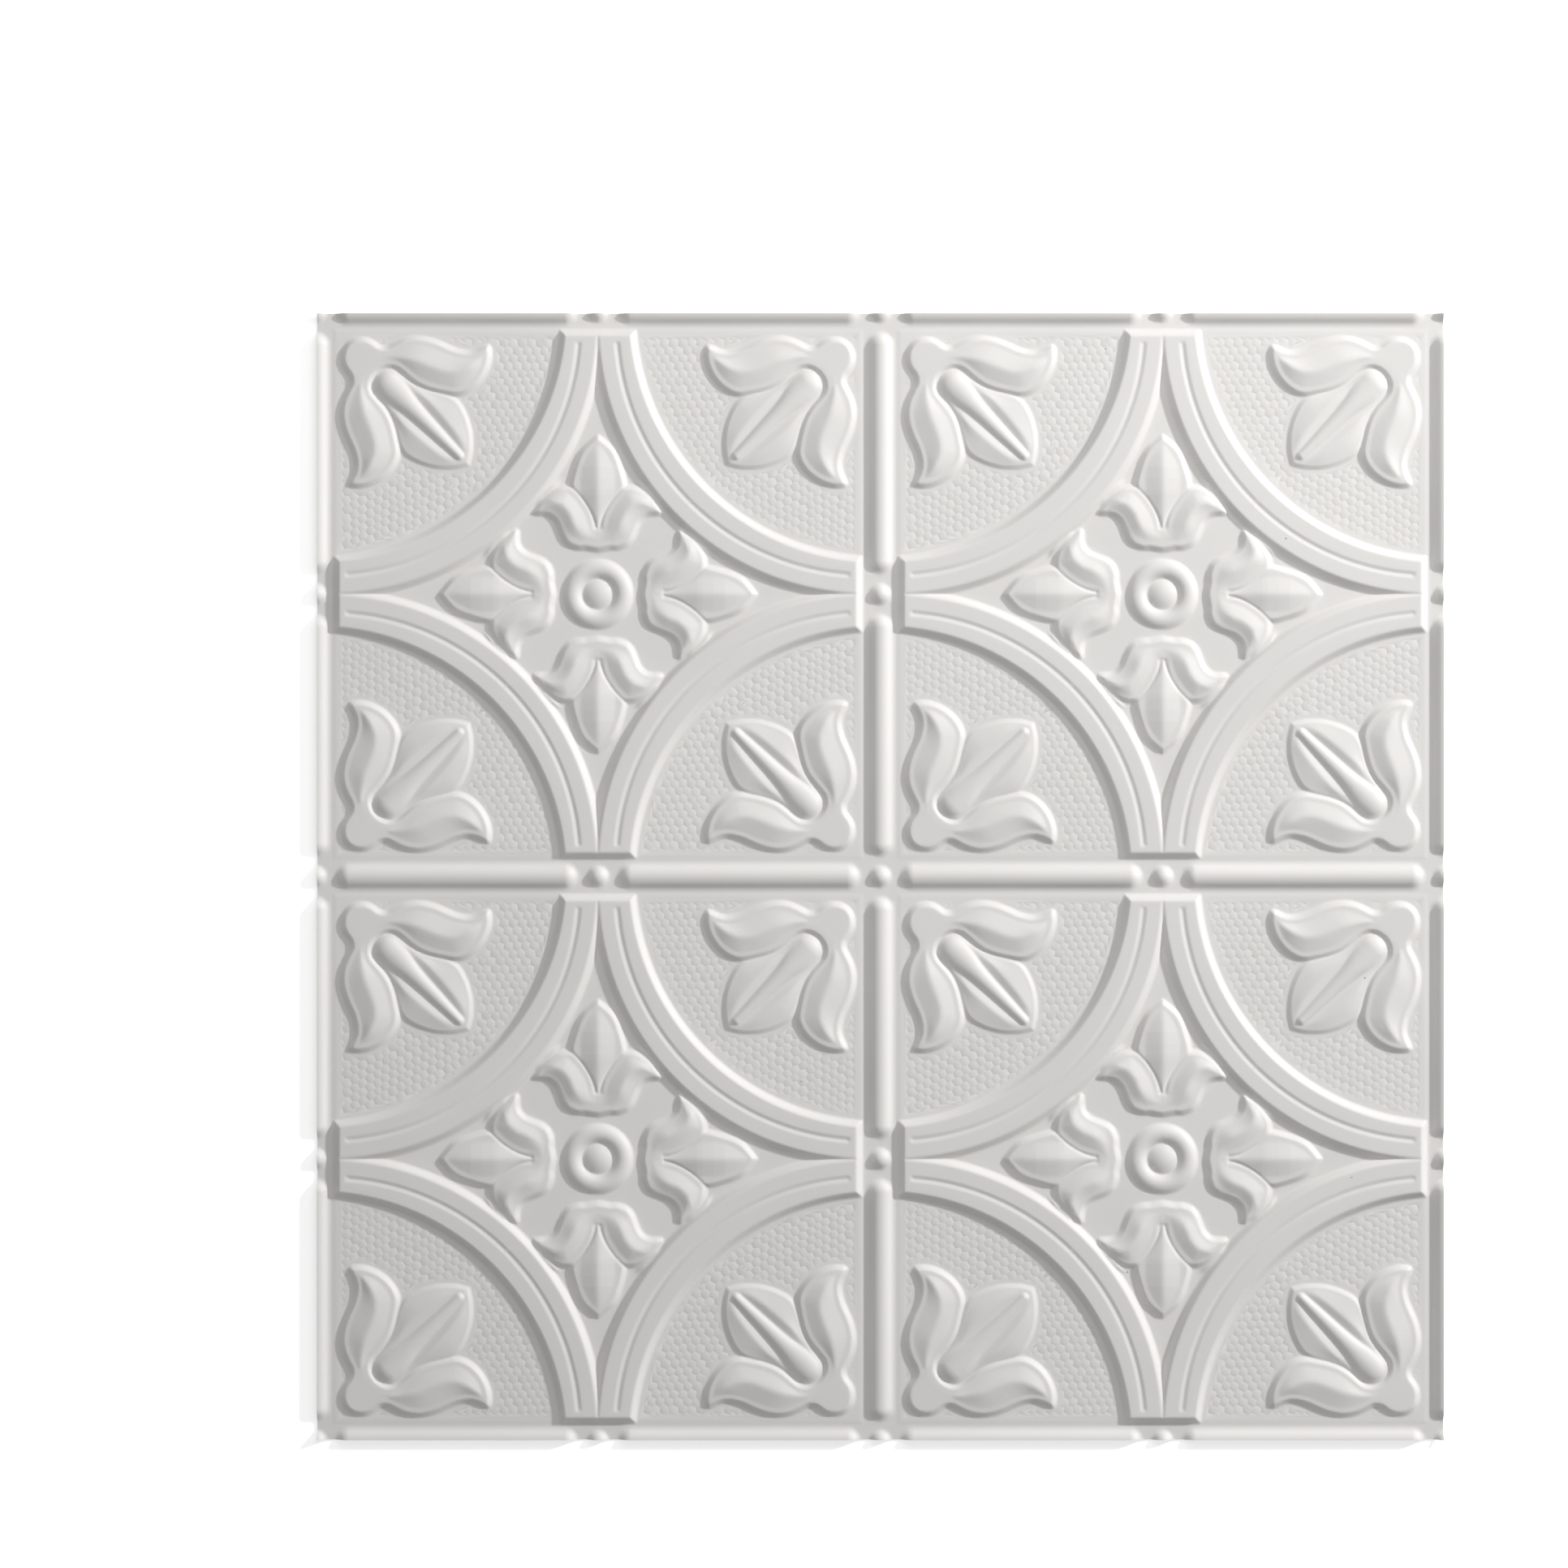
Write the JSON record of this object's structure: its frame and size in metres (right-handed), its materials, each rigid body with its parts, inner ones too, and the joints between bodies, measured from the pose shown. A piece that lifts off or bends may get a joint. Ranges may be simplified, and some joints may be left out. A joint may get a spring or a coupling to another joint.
{
  "type": "ceiling tile",
  "caption": "Square white vinyl ceiling tile, one thin hollow-backed sheet pressed with curved bands, beads, rosettes, fleurs-de-lis and leaf sprays.",
  "frame": {"origin": "middle of the tile, on the plane of its flat back", "axes": "+Z out of the patterned face, +X to the right and +Y to the top of the face as pictured"},
  "size_m": [0.603, 0.603, 0.0057],
  "materials": {
    "vinyl": "matte white"
  },
  "bodies": {
    "root": {"ceiling_tile": "vinyl"}
  },
  "joints": []
}
